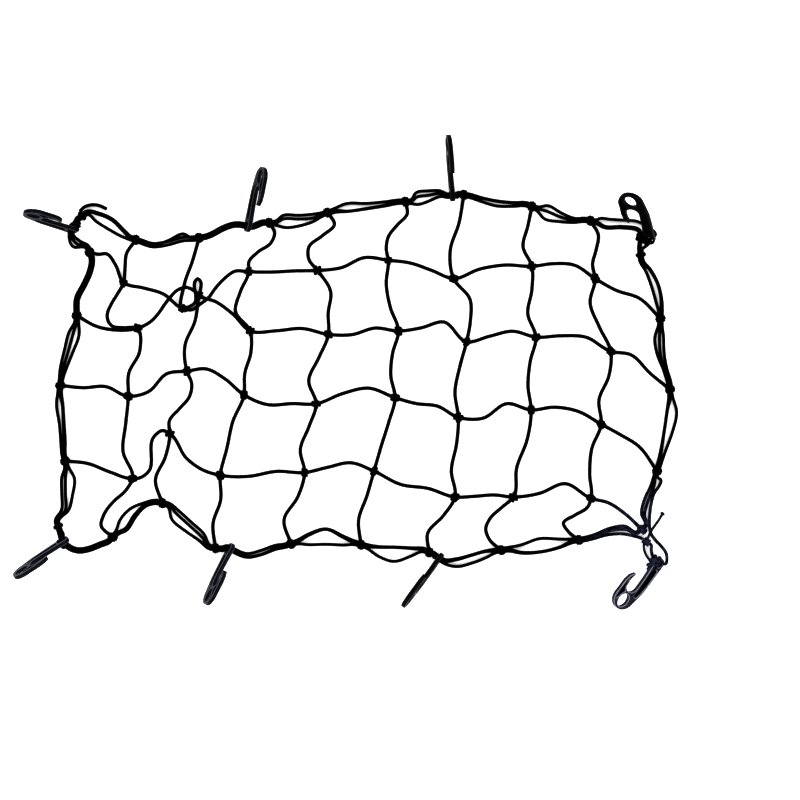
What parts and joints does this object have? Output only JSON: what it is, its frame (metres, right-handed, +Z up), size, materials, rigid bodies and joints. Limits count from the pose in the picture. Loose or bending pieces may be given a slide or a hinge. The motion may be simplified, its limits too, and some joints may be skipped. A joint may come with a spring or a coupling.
{
  "type": "cargo net",
  "caption": "Elastic cargo net of knotted black cord, spread out flat, with a strengthened cord border and moulded plastic hooks around its edge.",
  "frame": {"origin": "middle of the footprint, on the surface the net lies on", "axes": "+X along the long side, to the right in the picture; +Y across the net, up in the picture; +Z up"},
  "size_m": [0.9774, 0.6981, 0.0759],
  "materials": {
    "elastic_cord": "braided",
    "hook_plastic": "moulded, satin"
  },
  "bodies": {
    "root": {"net": "elastic_cord", "border_cord_inner": "elastic_cord", "border_cord_outer": "elastic_cord", "border_cord_top": "elastic_cord", "corner_tie_1": "elastic_cord", "corner_tie_2": "elastic_cord", "corner_tie_3": "elastic_cord", "corner_tie_4": "elastic_cord", "hook_1": "hook_plastic", "hook_2": "hook_plastic", "hook_3": "hook_plastic", "hook_4": "hook_plastic", "hook_5": "hook_plastic", "hook_6": "hook_plastic", "hook_7": "hook_plastic", "hook_8": "hook_plastic"}
  },
  "joints": []
}
